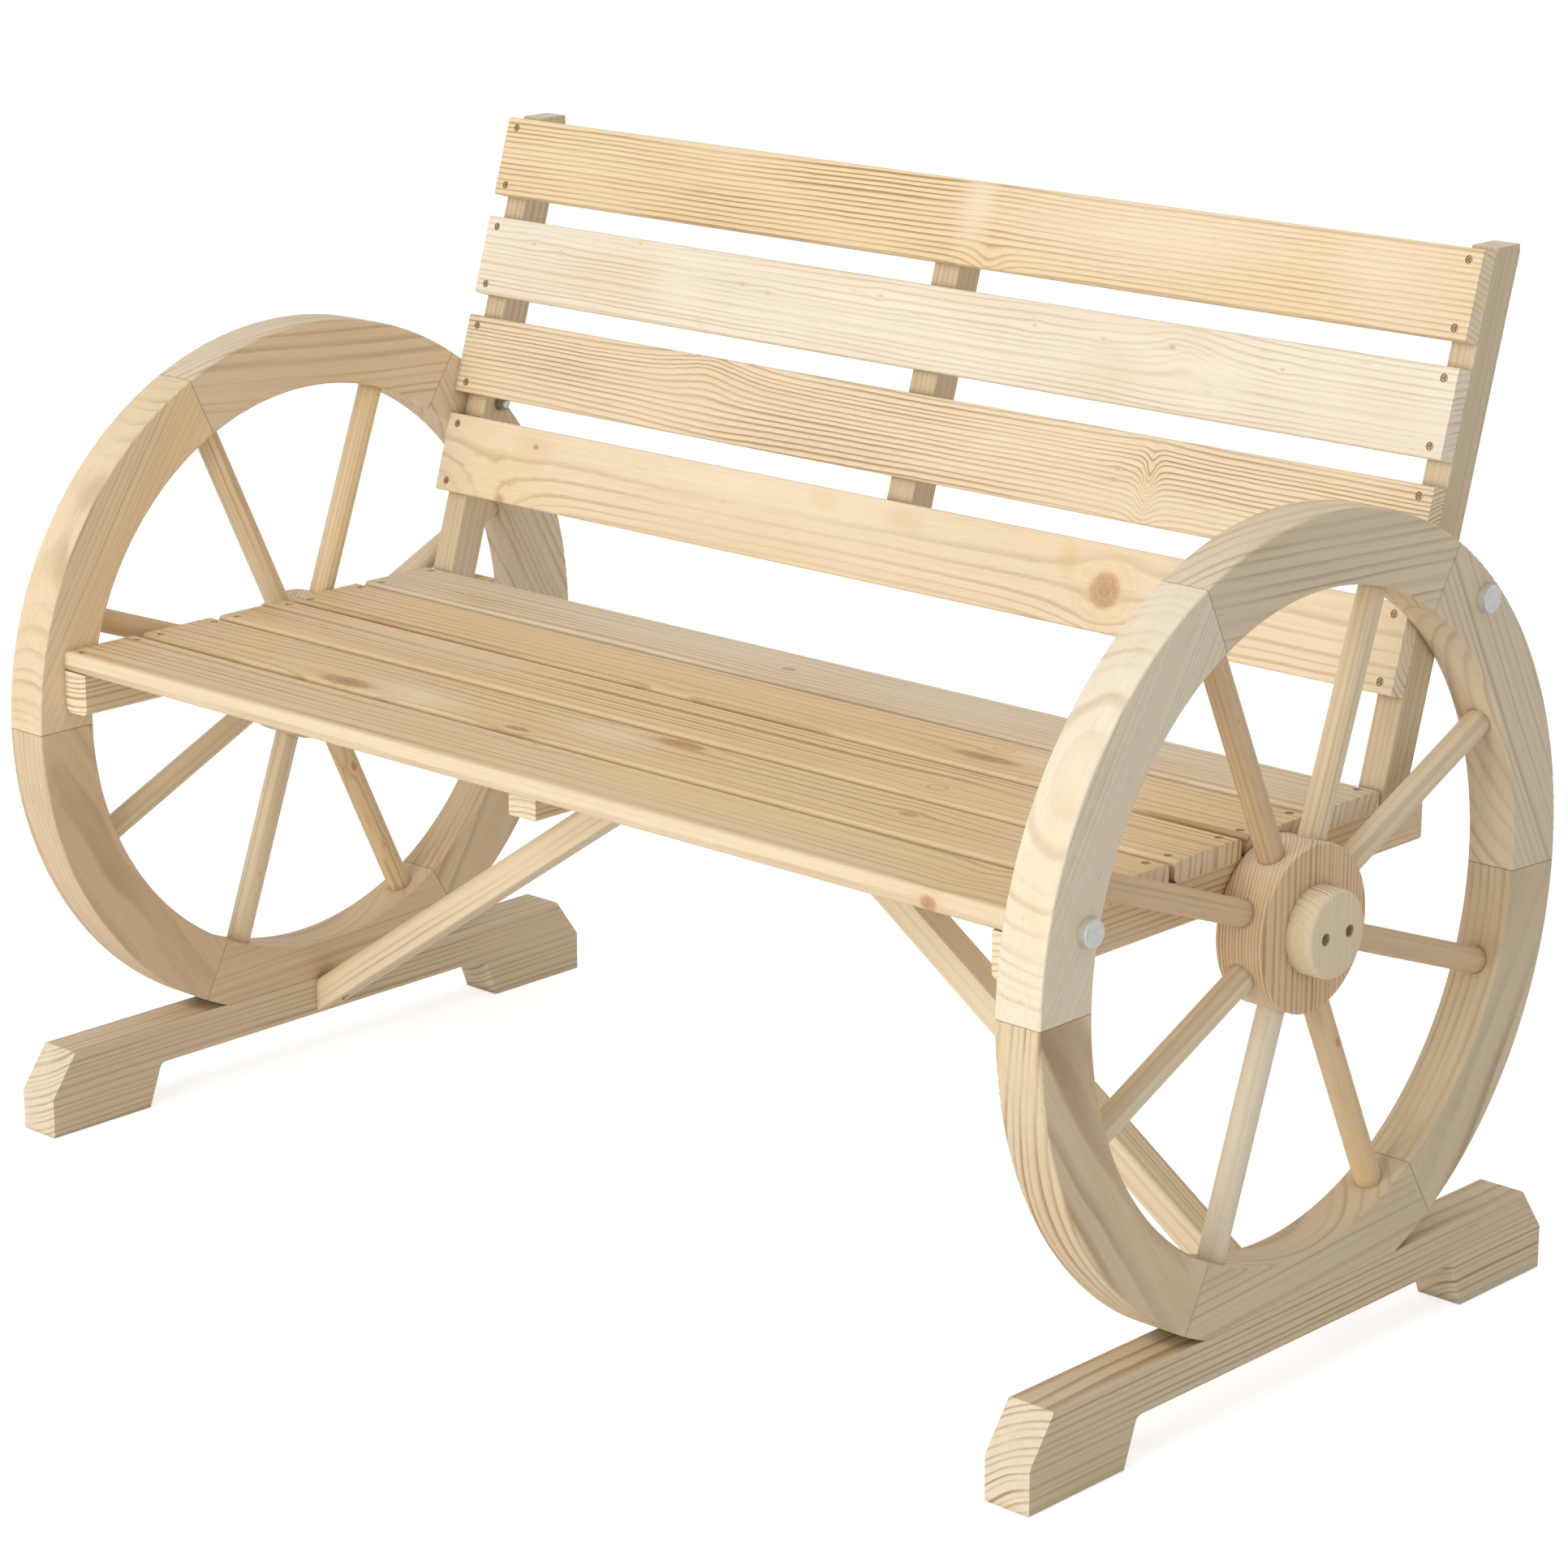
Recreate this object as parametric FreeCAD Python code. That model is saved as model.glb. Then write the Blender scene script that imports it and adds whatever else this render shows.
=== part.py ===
import FreeCAD, Part
import math
import os

os.makedirs("parts", exist_ok=True)

# A two-seat garden bench of planed fir. Each end is a fixed wagon wheel that stands on a skid.
# X runs along the seat, Y from the front to the back, and Z up. The origin is on the floor,
# under the middle of the seat and the wheels' axis. Lengths are in millimetres, angles in degrees.

# Wheels
width_over_rims = 1060.0
wheel_thickness = 38.6
rim_radius = 290.0
rim_depth = 52.5
rim_flat_depth = 21.9
hub_radius = 60.0
wheel_edge_round = 1.8
spoke_diameter = 19.5
spoke_socket_depth = 20.0
spoke_count = 8
first_spoke_angle = 25.0
# Where each felloe starts, counted from straight down towards the back. It runs to the next one's start.
# The top one starts an angle past the bolt that holds the back post, and the two below it share the rest.
back_low_start_angle = 31.0
back_low_share = 0.481
top_past_bolt_angle = 11.0
front_high_start_angle = 206.0
front_low_start_angle = 270.0
bottom_start_angle = 333.0
felloe_gap = 0.3
dowel_diameter = 8.0
dowel_length = 32.0
dowel_depth_share = 0.6
cap_radius = 31.5
cap_thickness = 20.0
cap_edge_round = 3.5
cap_screw_spacing = 27.0
cap_screw_recess = 4.0
cap_screw_share = 1.4

# Skids
skid_length = 588.0
skid_height = 66.9
skid_end_height = 33.0
skid_end_slope = 24.2
foot_length = 99.5
cutout_height = 35.0
cutout_slant = 13.0
cutout_round = 6.0
skid_edge_round = 1.5
skid_screw_spacing = 100.0

# Seat
seat_over_axle = 64.0
seat_front_inset = 26.5
seat_slat_count = 5
seat_slat_width = 72.5
seat_slat_gap = 6.5
slat_thickness = 15.5
seat_edge_round = 3.5
bearer_width = 25.0
bearer_height = 33.0
bearer_tail = 21.6
bearer_edge_round = 4.5
centre_bearer_width = 28.0
centre_bearer_height = 26.0
centre_bearer_inset = 26.0

# Back rest
back_tilt = 17.1
back_slat_count = 4
back_slat_width = 65.7
back_slat_gap = 18.5
back_edge_round = 2.2
back_first_rise = 80.7
post_gap = 0.5
post_width = 22.0
post_depth = 29.5
post_rise = 3.4
post_chamfer_width = 3.5
post_chamfer_height = 8.5
batten_width = 26.0
batten_depth = 26.0
batten_inset = 8.0
frame_edge_round = 1.5

# Braces from the skids up to the centre bearer
brace_width = 26.0
brace_depth = 23.3
brace_foot_rise = 2.2
brace_head_rise = 0.8
brace_bite_share = 0.4

# Fasteners
wood_fit = 0.2
screw_diameter = 4.0
screw_head_diameter = 6.2
screw_head_height = 2.6
screw_recess = 1.4
screw_bite = 20.0
screw_edge_distance = 8.5
screw_tip_share = 0.15
slot_width_share = 0.2
slot_length_share = 0.7
slot_depth_share = 0.5
slat_bite_share = 0.6
long_screw_share = 1.25
bolt_diameter = 6.0
bolt_head_radius = 10.0
bolt_head_thickness = 6.5
bolt_head_round = 1.0
bolt_edge_distance = 13.0
bolt_stub = 2.0
slat_bolt_bite = 30.0
post_bolt_share = 0.6
rim_bolt_share = 0.3
washer_radius = 6.0
washer_thickness = 1.5
nut_sides = 6
nut_width = 10.0
nut_height = 5.0
cut_overrun = 5.0

# Places that follow from the sizes above
full_turn = 360.0
wheel_outer_x = width_over_rims / 2
wheel_inner_x = wheel_outer_x - wheel_thickness
wheel_middle_x = wheel_outer_x - wheel_thickness / 2
rim_inner_radius = rim_radius - rim_depth
axle_height = skid_height + rim_radius - rim_flat_depth
seat_top = axle_height + seat_over_axle
seat_under = seat_top - slat_thickness
seat_front = seat_front_inset - rim_radius
seat_pitch = seat_slat_width + seat_slat_gap
seat_back = seat_front + seat_slat_count * seat_pitch - seat_slat_gap
bearer_under = seat_under - bearer_height
bearer_middle_x = wheel_inner_x - bearer_width / 2
post_inner_x = wheel_inner_x - post_width
post_middle_x = wheel_inner_x - post_width / 2
tilt_sine = math.sin(math.radians(back_tilt))
tilt_cosine = math.cos(math.radians(back_tilt))
tilt_slope = tilt_sine / tilt_cosine
post_foot_front = seat_back + post_gap
post_foot_depth = post_depth / tilt_cosine
bearer_back = post_foot_front + post_foot_depth + bearer_tail
back_pitch = back_slat_width + back_slat_gap
back_height = back_first_rise + back_slat_count * back_pitch - back_slat_gap
centre_under = seat_under - centre_bearer_height

X_AXIS = FreeCAD.Vector(1, 0, 0)
UP = FreeCAD.Vector(0, 0, 1)
DOWN = FreeCAD.Vector(0, 0, -1)
INWARD = FreeCAD.Vector(-1, 0, 0)
TO_BACK = FreeCAD.Vector(0, tilt_cosine, -tilt_sine)
TO_FRONT = FreeCAD.Vector(0, -tilt_cosine, tilt_sine)
ORIGIN = FreeCAD.Vector(0, 0, 0)
PARALLEL_SINE = 1e-6


def point(x, y, z):
    return FreeCAD.Vector(x, y, z)


def board(low, high):
    size = high - low
    return Part.makeBox(size.x, size.y, size.z, low)


def prism(outline, along):
    return Part.Face(Part.makePolygon(outline + outline[:1])).extrude(along)


def eased(shape, radius, direction):
    """Round the straight edges that run along a direction."""
    def runs_along(edge):
        ends = [vertex.Point for vertex in edge.Vertexes]
        return len(ends) == 2 and (ends[1] - ends[0]).normalize().cross(direction).Length < PARALLEL_SINE

    return shape.makeFillet(radius, [edge for edge in shape.Edges if runs_along(edge)])


def disc(low_x, thickness, radius, edge_round):
    """A wheel-wise disc about the wheel's axis, with both its rims eased."""
    solid = Part.makeCylinder(radius, thickness, point(low_x, 0, axle_height), X_AXIS)
    round_edges = [edge for edge in solid.Edges if edge.Closed]
    return solid.makeFillet(edge_round, round_edges)


def on_wheel(radius, angle, x):
    """A point at an angle from straight down, counted towards the back."""
    turn = math.radians(angle)
    return point(x, radius * math.sin(turn), axle_height - radius * math.cos(turn))


def outward(angle):
    turn = math.radians(angle)
    return FreeCAD.Vector(0, math.sin(turn), -math.cos(turn))


def wheel_angle(place):
    """The angle of a place on the wheel, counted as above."""
    return math.degrees(math.atan2(place.y, axle_height - place.z))


def round_the_rim(angle):
    turn = math.radians(angle)
    return FreeCAD.Vector(0, math.cos(turn), math.sin(turn))


def mirrored(shape):
    return shape.mirror(ORIGIN, X_AXIS)


def both_ends(shapes):
    return shapes + [mirrored(shape) for shape in shapes]


def drilled(shape, holes):
    return shape.cut([hole for hole in holes if hole.BoundBox.intersect(shape.BoundBox)])


# Screws: the head's top is at the origin and the tip points down until the screw is placed.
def turned(profile):
    """A solid of revolution about Z, from points of radius and height."""
    outline = [point(radius, 0, height) for radius, height in profile]
    face = Part.Face(Part.makePolygon(outline + outline[:1]))
    return face.revolve(ORIGIN, UP, full_turn)


def placed(shape, place, direction):
    moved = shape.copy()
    moved.Placement = FreeCAD.Placement(place, FreeCAD.Rotation(DOWN, direction))
    return moved


def screw_shape(length, thickness_share):
    shank = screw_diameter * thickness_share / 2
    head = screw_head_diameter * thickness_share / 2
    head_height = screw_head_height * thickness_share
    shoulder = length * (1 - screw_tip_share)
    body = turned([(0, 0), (head, 0), (shank, -head_height), (shank, -shoulder), (0, -length)])
    half_long = head * slot_length_share
    half_wide = head * slot_width_share
    depth = head_height * slot_depth_share
    bar = board(point(-half_long, -half_wide, -depth), point(half_long, half_wide, cut_overrun))
    cross_bar = board(point(-half_wide, -half_long, -depth), point(half_wide, half_long, cut_overrun))
    return body.cut([bar, cross_bar])


def hole_shape(length, thickness_share, mouth):
    shank = screw_diameter * thickness_share / 2 + wood_fit
    head = screw_head_diameter * thickness_share / 2 + wood_fit
    head_height = screw_head_height * thickness_share
    end = length + wood_fit
    return turned([(0, mouth), (head, mouth), (head, 0), (shank, -head_height), (shank, -end), (0, -end)])


class Screws:
    """Screws alike: each is sunk in the surface at a place and points along a direction."""

    def __init__(self, length, places, direction, thickness_share=1.0,
                 recess=screw_recess, overrun=cut_overrun):
        screw = screw_shape(length, thickness_share)
        hole = hole_shape(length, thickness_share, recess + overrun)
        sunk = [place + direction * recess for place in places]
        self.solids = [placed(screw, place, direction) for place in sunk]
        self.holes = [placed(hole, place, direction) for place in sunk]


# Where the seat, the back and the rim are fastened
def seat_slat_front(number):
    return seat_front + number * seat_pitch


def seat_slat_middle(number):
    return seat_slat_front(number) + seat_slat_width / 2


def on_back(x, behind, rise):
    """A point of the tilted back: behind the slats' back faces, and up the posts from their feet."""
    y = post_foot_front + rise * tilt_sine + behind * tilt_cosine
    return point(x, y, seat_under + rise * tilt_cosine - behind * tilt_sine)


def back_slat_rise(number):
    return back_first_rise + number * back_pitch


def two_rows(low, width):
    return (low + screw_edge_distance, low + width - screw_edge_distance)


def seat_screw_places():
    fronts = [seat_slat_front(slat) for slat in range(seat_slat_count)]
    rows = [row for front in fronts for row in two_rows(front, seat_slat_width)]
    return [point(bearer_middle_x, row, seat_top) for row in rows]


def back_screw_places():
    rises = [back_slat_rise(slat) for slat in range(back_slat_count)]
    rows = [row for rise in rises for row in two_rows(rise, back_slat_width)]
    return [on_back(post_middle_x, -slat_thickness, row) for row in rows]


def batten_screw_places():
    middles = [back_slat_rise(slat) + back_slat_width / 2 for slat in range(back_slat_count)]
    return [on_back(0, batten_depth, middle) for middle in middles]


def front_bolt_place():
    """Where the middle of the front slat's end meets the rim."""
    height = seat_top - slat_thickness / 2
    radius = rim_inner_radius + bolt_edge_distance
    return point(wheel_outer_x, -math.sqrt(radius ** 2 - (height - axle_height) ** 2), height)


def back_bolt_place():
    """Where the post's bolt line crosses the rim."""
    foot = on_back(wheel_outer_x, post_depth * post_bolt_share, 0)
    radius = rim_radius - rim_depth * rim_bolt_share
    along = foot.y * tilt_sine + (foot.z - axle_height) * tilt_cosine
    short = foot.y ** 2 + (foot.z - axle_height) ** 2 - radius ** 2
    rise = math.sqrt(along ** 2 - short) - along
    return foot + FreeCAD.Vector(0, tilt_sine, tilt_cosine) * rise


slat_screw_length = slat_thickness - screw_recess + screw_bite
centre_screw_length = centre_bearer_height - screw_recess + slat_thickness * slat_bite_share
batten_screw_length = batten_depth - screw_recess + slat_thickness * slat_bite_share
cap_screw_length = cap_thickness - cap_screw_recess + screw_bite
skid_screw_length = skid_height - cutout_height - screw_recess + screw_bite
post_screw_length = bearer_height - screw_recess + screw_bite

seat_screws = Screws(slat_screw_length, seat_screw_places(), DOWN)
back_screws = Screws(slat_screw_length, back_screw_places(), TO_BACK)
batten_screws = Screws(batten_screw_length, batten_screw_places(), TO_FRONT)
centre_places = [point(0, seat_slat_middle(slat), centre_under) for slat in range(seat_slat_count)]
centre_screws = Screws(centre_screw_length, centre_places, UP)
cap_face_x = wheel_outer_x + cap_thickness
cap_places = [point(cap_face_x, side * cap_screw_spacing / 2, axle_height) for side in (-1, 1)]
cap_screws = Screws(cap_screw_length, cap_places, INWARD, cap_screw_share, cap_screw_recess)
skid_places = [point(wheel_middle_x, side * skid_screw_spacing / 2, cutout_height) for side in (-1, 1)]
skid_screws = Screws(skid_screw_length, skid_places, UP, long_screw_share)
post_place = point(post_middle_x, post_foot_front + post_foot_depth / 2, bearer_under)
post_screws = Screws(post_screw_length, [post_place], UP, long_screw_share)


# Bolts: each has a flat round head on the rim. The front one ends in the end of the front slat.
class Bolt:
    def __init__(self, place, end_x, overrun):
        self.place = place
        self.end_x = end_x
        self.hole = self.rod(end_x - overrun, place.x + cut_overrun, bolt_diameter / 2 + wood_fit)

    def rod(self, low_x, high_x, radius):
        return Part.makeCylinder(radius, high_x - low_x, point(low_x, self.place.y, self.place.z), X_AXIS)

    def solid(self):
        head = self.rod(self.place.x, self.place.x + bolt_head_thickness, bolt_head_radius)
        outer = [edge for edge in head.Edges if edge.Closed and edge.CenterOfMass.x > self.place.x]
        shank = self.rod(self.end_x, self.place.x, bolt_diameter / 2)
        return head.makeFillet(bolt_head_round, outer).fuse(shank)


class NutBolt(Bolt):
    """A bolt that passes through the piece inside the rim, with a washer and a nut on that piece."""

    def __init__(self, place, grip_x):
        self.washer_x = grip_x - washer_thickness
        self.nut_x = self.washer_x - nut_height
        super().__init__(place, self.nut_x - bolt_stub, cut_overrun)

    def washer(self):
        return self.rod(self.washer_x, self.washer_x + washer_thickness, washer_radius).cut(self.hole)

    def nut(self):
        step = math.radians(full_turn / nut_sides)
        corner = nut_width / 2 / math.cos(step / 2)
        turns = [step * corner_number for corner_number in range(nut_sides)]
        spokes = [FreeCAD.Vector(0, corner * math.cos(turn), corner * math.sin(turn)) for turn in turns]
        middle = point(self.nut_x, self.place.y, self.place.z)
        return prism([middle + spoke for spoke in spokes], X_AXIS * nut_height).cut(self.hole)


front_bolt = Bolt(front_bolt_place(), wheel_inner_x - slat_bolt_bite, wood_fit)
back_bolt = NutBolt(back_bolt_place(), post_inner_x)
bolts = [front_bolt, back_bolt]
bolt_holes = [bolt.hole for bolt in bolts]


# Braces: plumb cuts at both ends, and a screw driven level through each end
brace_foot_x = wheel_inner_x
brace_head_x = centre_bearer_width / 2
brace_foot_z = cutout_height + brace_foot_rise
brace_head_z = centre_under + brace_head_rise
brace_slope = (brace_head_z - brace_foot_z) / (brace_foot_x - brace_head_x)
brace_plumb_height = brace_depth * math.sqrt(1 + brace_slope ** 2)
brace_screw_reach = brace_plumb_height / 2 / brace_slope
foot_bite = wheel_thickness * brace_bite_share
head_bite = centre_bearer_width * brace_bite_share
foot_place = point(brace_foot_x - brace_screw_reach, 0, brace_foot_z + brace_plumb_height / 2)
head_place = point(brace_head_x + brace_screw_reach, 0, brace_head_z + brace_plumb_height / 2)
foot_screw_length = brace_screw_reach - screw_recess + foot_bite
head_screw_length = brace_screw_reach - screw_recess + head_bite
brace_foot_screws = Screws(foot_screw_length, [foot_place], X_AXIS, overrun=brace_plumb_height)
brace_head_screws = Screws(head_screw_length, [head_place], INWARD, overrun=brace_plumb_height)


def brace():
    front = -brace_width / 2
    outline = [point(brace_foot_x, front, brace_foot_z), point(brace_head_x, front, brace_head_z),
               point(brace_head_x, front, brace_head_z + brace_plumb_height),
               point(brace_foot_x, front, brace_foot_z + brace_plumb_height)]
    bar = prism(outline, FreeCAD.Vector(0, brace_width, 0))
    bar = eased(bar, frame_edge_round, FreeCAD.Vector(-1, 0, brace_slope).normalize())
    above_seat = board(point(0, seat_front, seat_under),
                       point(wheel_inner_x, seat_back, seat_top + brace_depth))
    return drilled(bar.cut(above_seat), brace_foot_screws.holes + brace_head_screws.holes)


# Wheels
spoke_angles = [first_spoke_angle + full_turn * number / spoke_count for number in range(spoke_count)]
spoke_start = hub_radius - spoke_socket_depth
spoke_length = rim_inner_radius + spoke_socket_depth - spoke_start
top_start_angle = wheel_angle(back_bolt.place) + top_past_bolt_angle
back_angle = top_start_angle - back_low_start_angle
felloe_start_angles = {"back_low": back_low_start_angle,
                       "back_high": back_low_start_angle + back_angle * back_low_share,
                       "top": top_start_angle,
                       "front_high": front_high_start_angle,
                       "front_low": front_low_start_angle,
                       "bottom": bottom_start_angle}


def spoke(angle):
    start = on_wheel(spoke_start, angle, wheel_middle_x)
    return Part.makeCylinder(spoke_diameter / 2, spoke_length, start, outward(angle))


def spoke_socket(angle):
    start = on_wheel(spoke_start - wood_fit, angle, wheel_middle_x)
    radius = spoke_diameter / 2 + wood_fit
    return Part.makeCylinder(radius, spoke_length + 2 * wood_fit, start, outward(angle))


def dowel(angle, spare):
    """A dowel across a rim joint, or its hole with room to spare all round."""
    middle = on_wheel(rim_inner_radius + rim_depth * dowel_depth_share, angle, wheel_middle_x)
    length = dowel_length + 2 * spare
    start = middle - round_the_rim(angle) * (length / 2)
    return Part.makeCylinder(dowel_diameter / 2 + spare, length, start, round_the_rim(angle))


spoke_sockets = [spoke_socket(angle) for angle in spoke_angles]
dowels = [dowel(angle, 0) for angle in felloe_start_angles.values()]
dowel_holes = [dowel(angle, wood_fit) for angle in felloe_start_angles.values()]


def rim():
    ring = disc(wheel_inner_x, wheel_thickness, rim_radius, wheel_edge_round)
    bore_start = point(wheel_inner_x - cut_overrun, 0, axle_height)
    bore = Part.makeCylinder(rim_inner_radius, wheel_thickness + 2 * cut_overrun, bore_start, X_AXIS)
    ring = ring.cut(bore)
    bore_top = axle_height + rim_inner_radius + wood_fit
    inner = [edge for edge in ring.Edges if edge.Closed and edge.BoundBox.ZMax < bore_top]
    ring = ring.makeFillet(wheel_edge_round, inner)
    below_flat = board(point(wheel_inner_x - cut_overrun, -rim_radius, 0),
                       point(wheel_outer_x + cut_overrun, rim_radius, skid_height))
    return ring.cut(below_flat)


def sector(start, end):
    """A wedge of the wheel between two angles, past the rim's sides and short of its neighbours."""
    reach = 2 * rim_radius
    middle = (start + end) / 2
    x = wheel_inner_x - cut_overrun
    corners = [on_wheel(reach, angle, x) for angle in (start, middle, end)]
    wedge = prism([point(x, 0, axle_height)] + corners, X_AXIS * (wheel_thickness + 2 * cut_overrun))
    wedge.translate(outward(middle) * (felloe_gap / 2 / math.sin(math.radians(middle - start))))
    return wedge


def felloes():
    whole_rim = rim()
    starts = list(felloe_start_angles.values())
    ends = starts[1:] + [starts[0] + full_turn]
    holes = spoke_sockets + dowel_holes + bolt_holes + skid_screws.holes
    pieces = {}
    for name, start, end in zip(felloe_start_angles, starts, ends):
        pieces["felloe_" + name] = drilled(whole_rim.common(sector(start, end)), holes)
    return pieces


def hub():
    body = disc(wheel_inner_x, wheel_thickness, hub_radius, wheel_edge_round)
    return drilled(body, spoke_sockets + cap_screws.holes)


def hub_cap():
    body = Part.makeCylinder(cap_radius, cap_thickness, point(wheel_outer_x, 0, axle_height), X_AXIS)
    face_edges = [edge for edge in body.Edges if edge.Closed and edge.CenterOfMass.x > wheel_outer_x]
    return drilled(body.makeFillet(cap_edge_round, face_edges), cap_screws.holes)


def skid():
    half = skid_length / 2
    foot = half - foot_length
    upper = foot - cutout_slant
    near_half = [(upper, cutout_height), (foot, 0), (half, 0), (half, skid_end_height),
                 (half - skid_end_slope, skid_height)]
    outline = near_half + [(-y, z) for y, z in reversed(near_half)]
    beam = prism([point(wheel_inner_x, y, z) for y, z in outline], X_AXIS * wheel_thickness)

    across = [edge for edge in beam.Edges if edge.BoundBox.XLength > wheel_thickness - wood_fit]
    corners = [edge for edge in across if abs(abs(edge.CenterOfMass.y) - upper) < wood_fit]
    beam = beam.makeFillet(cutout_round, corners)
    beam = eased(beam, skid_edge_round, FreeCAD.Vector(0, 1, 0))
    return drilled(beam, skid_screws.holes + brace_foot_screws.holes)


# Seat
def seat_slat(number):
    low = point(-wheel_inner_x, seat_slat_front(number), seat_under)
    high = point(wheel_inner_x, seat_slat_front(number) + seat_slat_width, seat_top)
    slat = eased(board(low, high), seat_edge_round, X_AXIS)
    return drilled(slat, both_ends(seat_screws.holes + [front_bolt.hole]) + centre_screws.holes)


def bearer():
    low = point(wheel_inner_x - bearer_width, seat_front, bearer_under)
    bar = board(low, point(wheel_inner_x, bearer_back, seat_under))
    under = [edge for edge in bar.Edges
             if edge.BoundBox.ZMax < bearer_under + wood_fit and edge.BoundBox.YLength > bearer_width]
    bar = bar.makeFillet(bearer_edge_round, under)
    return drilled(bar, seat_screws.holes + post_screws.holes)


def centre_bearer():
    half = centre_bearer_width / 2
    low = point(-half, seat_front + centre_bearer_inset, centre_under)
    bar = board(low, point(half, seat_back - centre_bearer_inset, seat_under))
    bar = eased(bar, frame_edge_round, FreeCAD.Vector(0, 1, 0))
    return drilled(bar, centre_screws.holes + both_ends(brace_head_screws.holes))


# Back rest: slats and batten are made upright, then tilted about the posts' feet
def tilted(shape):
    leaned = shape.copy()
    leaned.rotate(ORIGIN, X_AXIS, -back_tilt)
    leaned.translate(on_back(0, 0, 0))
    return leaned


def back_slat(number):
    low = point(-wheel_inner_x, -slat_thickness, back_slat_rise(number))
    high = point(wheel_inner_x, 0, back_slat_rise(number) + back_slat_width)
    slat = tilted(eased(board(low, high), back_edge_round, X_AXIS))
    return drilled(slat, both_ends(back_screws.holes) + batten_screws.holes)


def middle_batten():
    low = point(-batten_width / 2, 0, back_first_rise + batten_inset)
    high = point(batten_width / 2, batten_depth, back_height - batten_inset)
    bar = tilted(eased(board(low, high), frame_edge_round, UP))
    return drilled(bar, batten_screws.holes)


def post():
    top = on_back(0, 0, back_height + post_rise).z
    foot_back = post_foot_front + post_foot_depth
    rise = top - seat_under
    low_corner = rise - post_chamfer_height
    outline = [(post_foot_front, seat_under), (foot_back, seat_under),
               (foot_back + low_corner * tilt_slope, top - post_chamfer_height),
               (foot_back + rise * tilt_slope - post_chamfer_width, top),
               (post_foot_front + rise * tilt_slope, top)]
    bar = prism([point(post_inner_x, y, z) for y, z in outline], X_AXIS * post_width)
    bar = eased(bar, frame_edge_round, FreeCAD.Vector(0, tilt_sine, tilt_cosine))
    return drilled(bar, back_screws.holes + post_screws.holes + [back_bolt.hole])


def end_pieces():
    """The pieces of the right end. The left end has the same ones, mirrored."""
    pieces = felloes()
    for number, angle in enumerate(spoke_angles, 1):
        pieces["spoke_%d" % number] = spoke(angle)
    pieces["hub"] = hub()
    pieces["hub_cap"] = hub_cap()
    pieces["skid"] = skid()
    pieces["bearer"] = bearer()
    pieces["post"] = post()
    pieces["brace"] = brace()
    return pieces


def shared_pieces():
    pieces = {"centre_bearer": centre_bearer(), "middle_batten": middle_batten()}
    for number in range(seat_slat_count):
        pieces["seat_slat_%d" % (number + 1)] = seat_slat(number)
    for number in range(back_slat_count):
        pieces["back_slat_%d" % (number + 1)] = back_slat(number)
    return pieces


def fasteners():
    brace_screws = brace_foot_screws.solids + brace_head_screws.solids
    groups = {"felloe_dowels": both_ends(dowels),
              "seat_screws": both_ends(seat_screws.solids),
              "back_screws": both_ends(back_screws.solids),
              "centre_screws": centre_screws.solids + batten_screws.solids + both_ends(brace_screws),
              "hub_cap_screws": both_ends(cap_screws.solids),
              "frame_screws": both_ends(skid_screws.solids + post_screws.solids),
              "rim_bolts": both_ends([bolt.solid() for bolt in bolts]),
              "bolt_washers": both_ends([back_bolt.washer()]),
              "bolt_nuts": both_ends([back_bolt.nut()])}
    return {name: Part.makeCompound(solids) for name, solids in groups.items()}


def save(name, shape):
    shape.exportStep("parts/%s.step" % name)


for name, shape in end_pieces().items():
    save("right_" + name, shape)
    save("left_" + name, mirrored(shape))
for name, shape in {**shared_pieces(), **fasteners()}.items():
    save(name, shape)
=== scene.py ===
import math
import random
from collections import namedtuple

import bpy
from mathutils import Matrix, Vector


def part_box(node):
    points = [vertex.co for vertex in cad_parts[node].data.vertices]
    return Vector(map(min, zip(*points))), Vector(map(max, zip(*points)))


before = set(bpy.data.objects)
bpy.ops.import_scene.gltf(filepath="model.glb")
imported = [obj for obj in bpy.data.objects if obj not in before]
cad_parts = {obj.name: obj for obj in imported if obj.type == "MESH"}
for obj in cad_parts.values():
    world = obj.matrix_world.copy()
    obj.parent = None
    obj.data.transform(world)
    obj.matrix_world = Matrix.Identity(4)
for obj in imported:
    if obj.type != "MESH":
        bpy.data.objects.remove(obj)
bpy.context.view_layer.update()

# The looks of a garden bench of planed fir with wagon wheels for its ends.
# Lengths are in metres, angles in degrees and colours in sRGB from 0 to 255.

# Camera
image_size = 1932
camera_target = Vector((0, 0, 0.4))
camera_distance = 3.4401
camera_azimuth = 43.50
camera_elevation = 15.23
camera_roll = -0.152
camera_sensor = 0.036
focal_pixels = 5617.85
principal_pixel = (922.8, 859.8)
millimetres = 1000.0

# Light
key_direction = (2.0, 16.0)
key_distance = 4.5
key_size = 2.6
key_level = 0.50
key_colour = (255, 254, 251)
top_direction = (10.0, 80.0)
top_distance = 4.0
top_size = 4.0
top_level = 0.13
top_colour = (255, 252, 247)
back_direction = (160.0, 35.0)
back_distance = 4.5
back_size = 3.0
back_level = 0.06
back_colour = (255, 252, 247)
sky_colour = (186, 187, 190)
white_level = 1.0
floor_size = 40.0
floor_drop = 0.0005
floor_colour = (232, 232, 232)
floor_glow = 0.62
floor_rough = 0.9

# Where the wood's grain runs
back_tilt = math.radians(17.1)
brace_slope = math.radians(33.9)
X_AXIS = Vector((1, 0, 0))
Y_AXIS = Vector((0, 1, 0))
Z_AXIS = Vector((0, 0, 1))
UP_THE_BACK = Vector((0, math.sin(back_tilt), math.cos(back_tilt)))
BACK_FACE = Vector((0, -math.cos(back_tilt), math.sin(back_tilt)))

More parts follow.
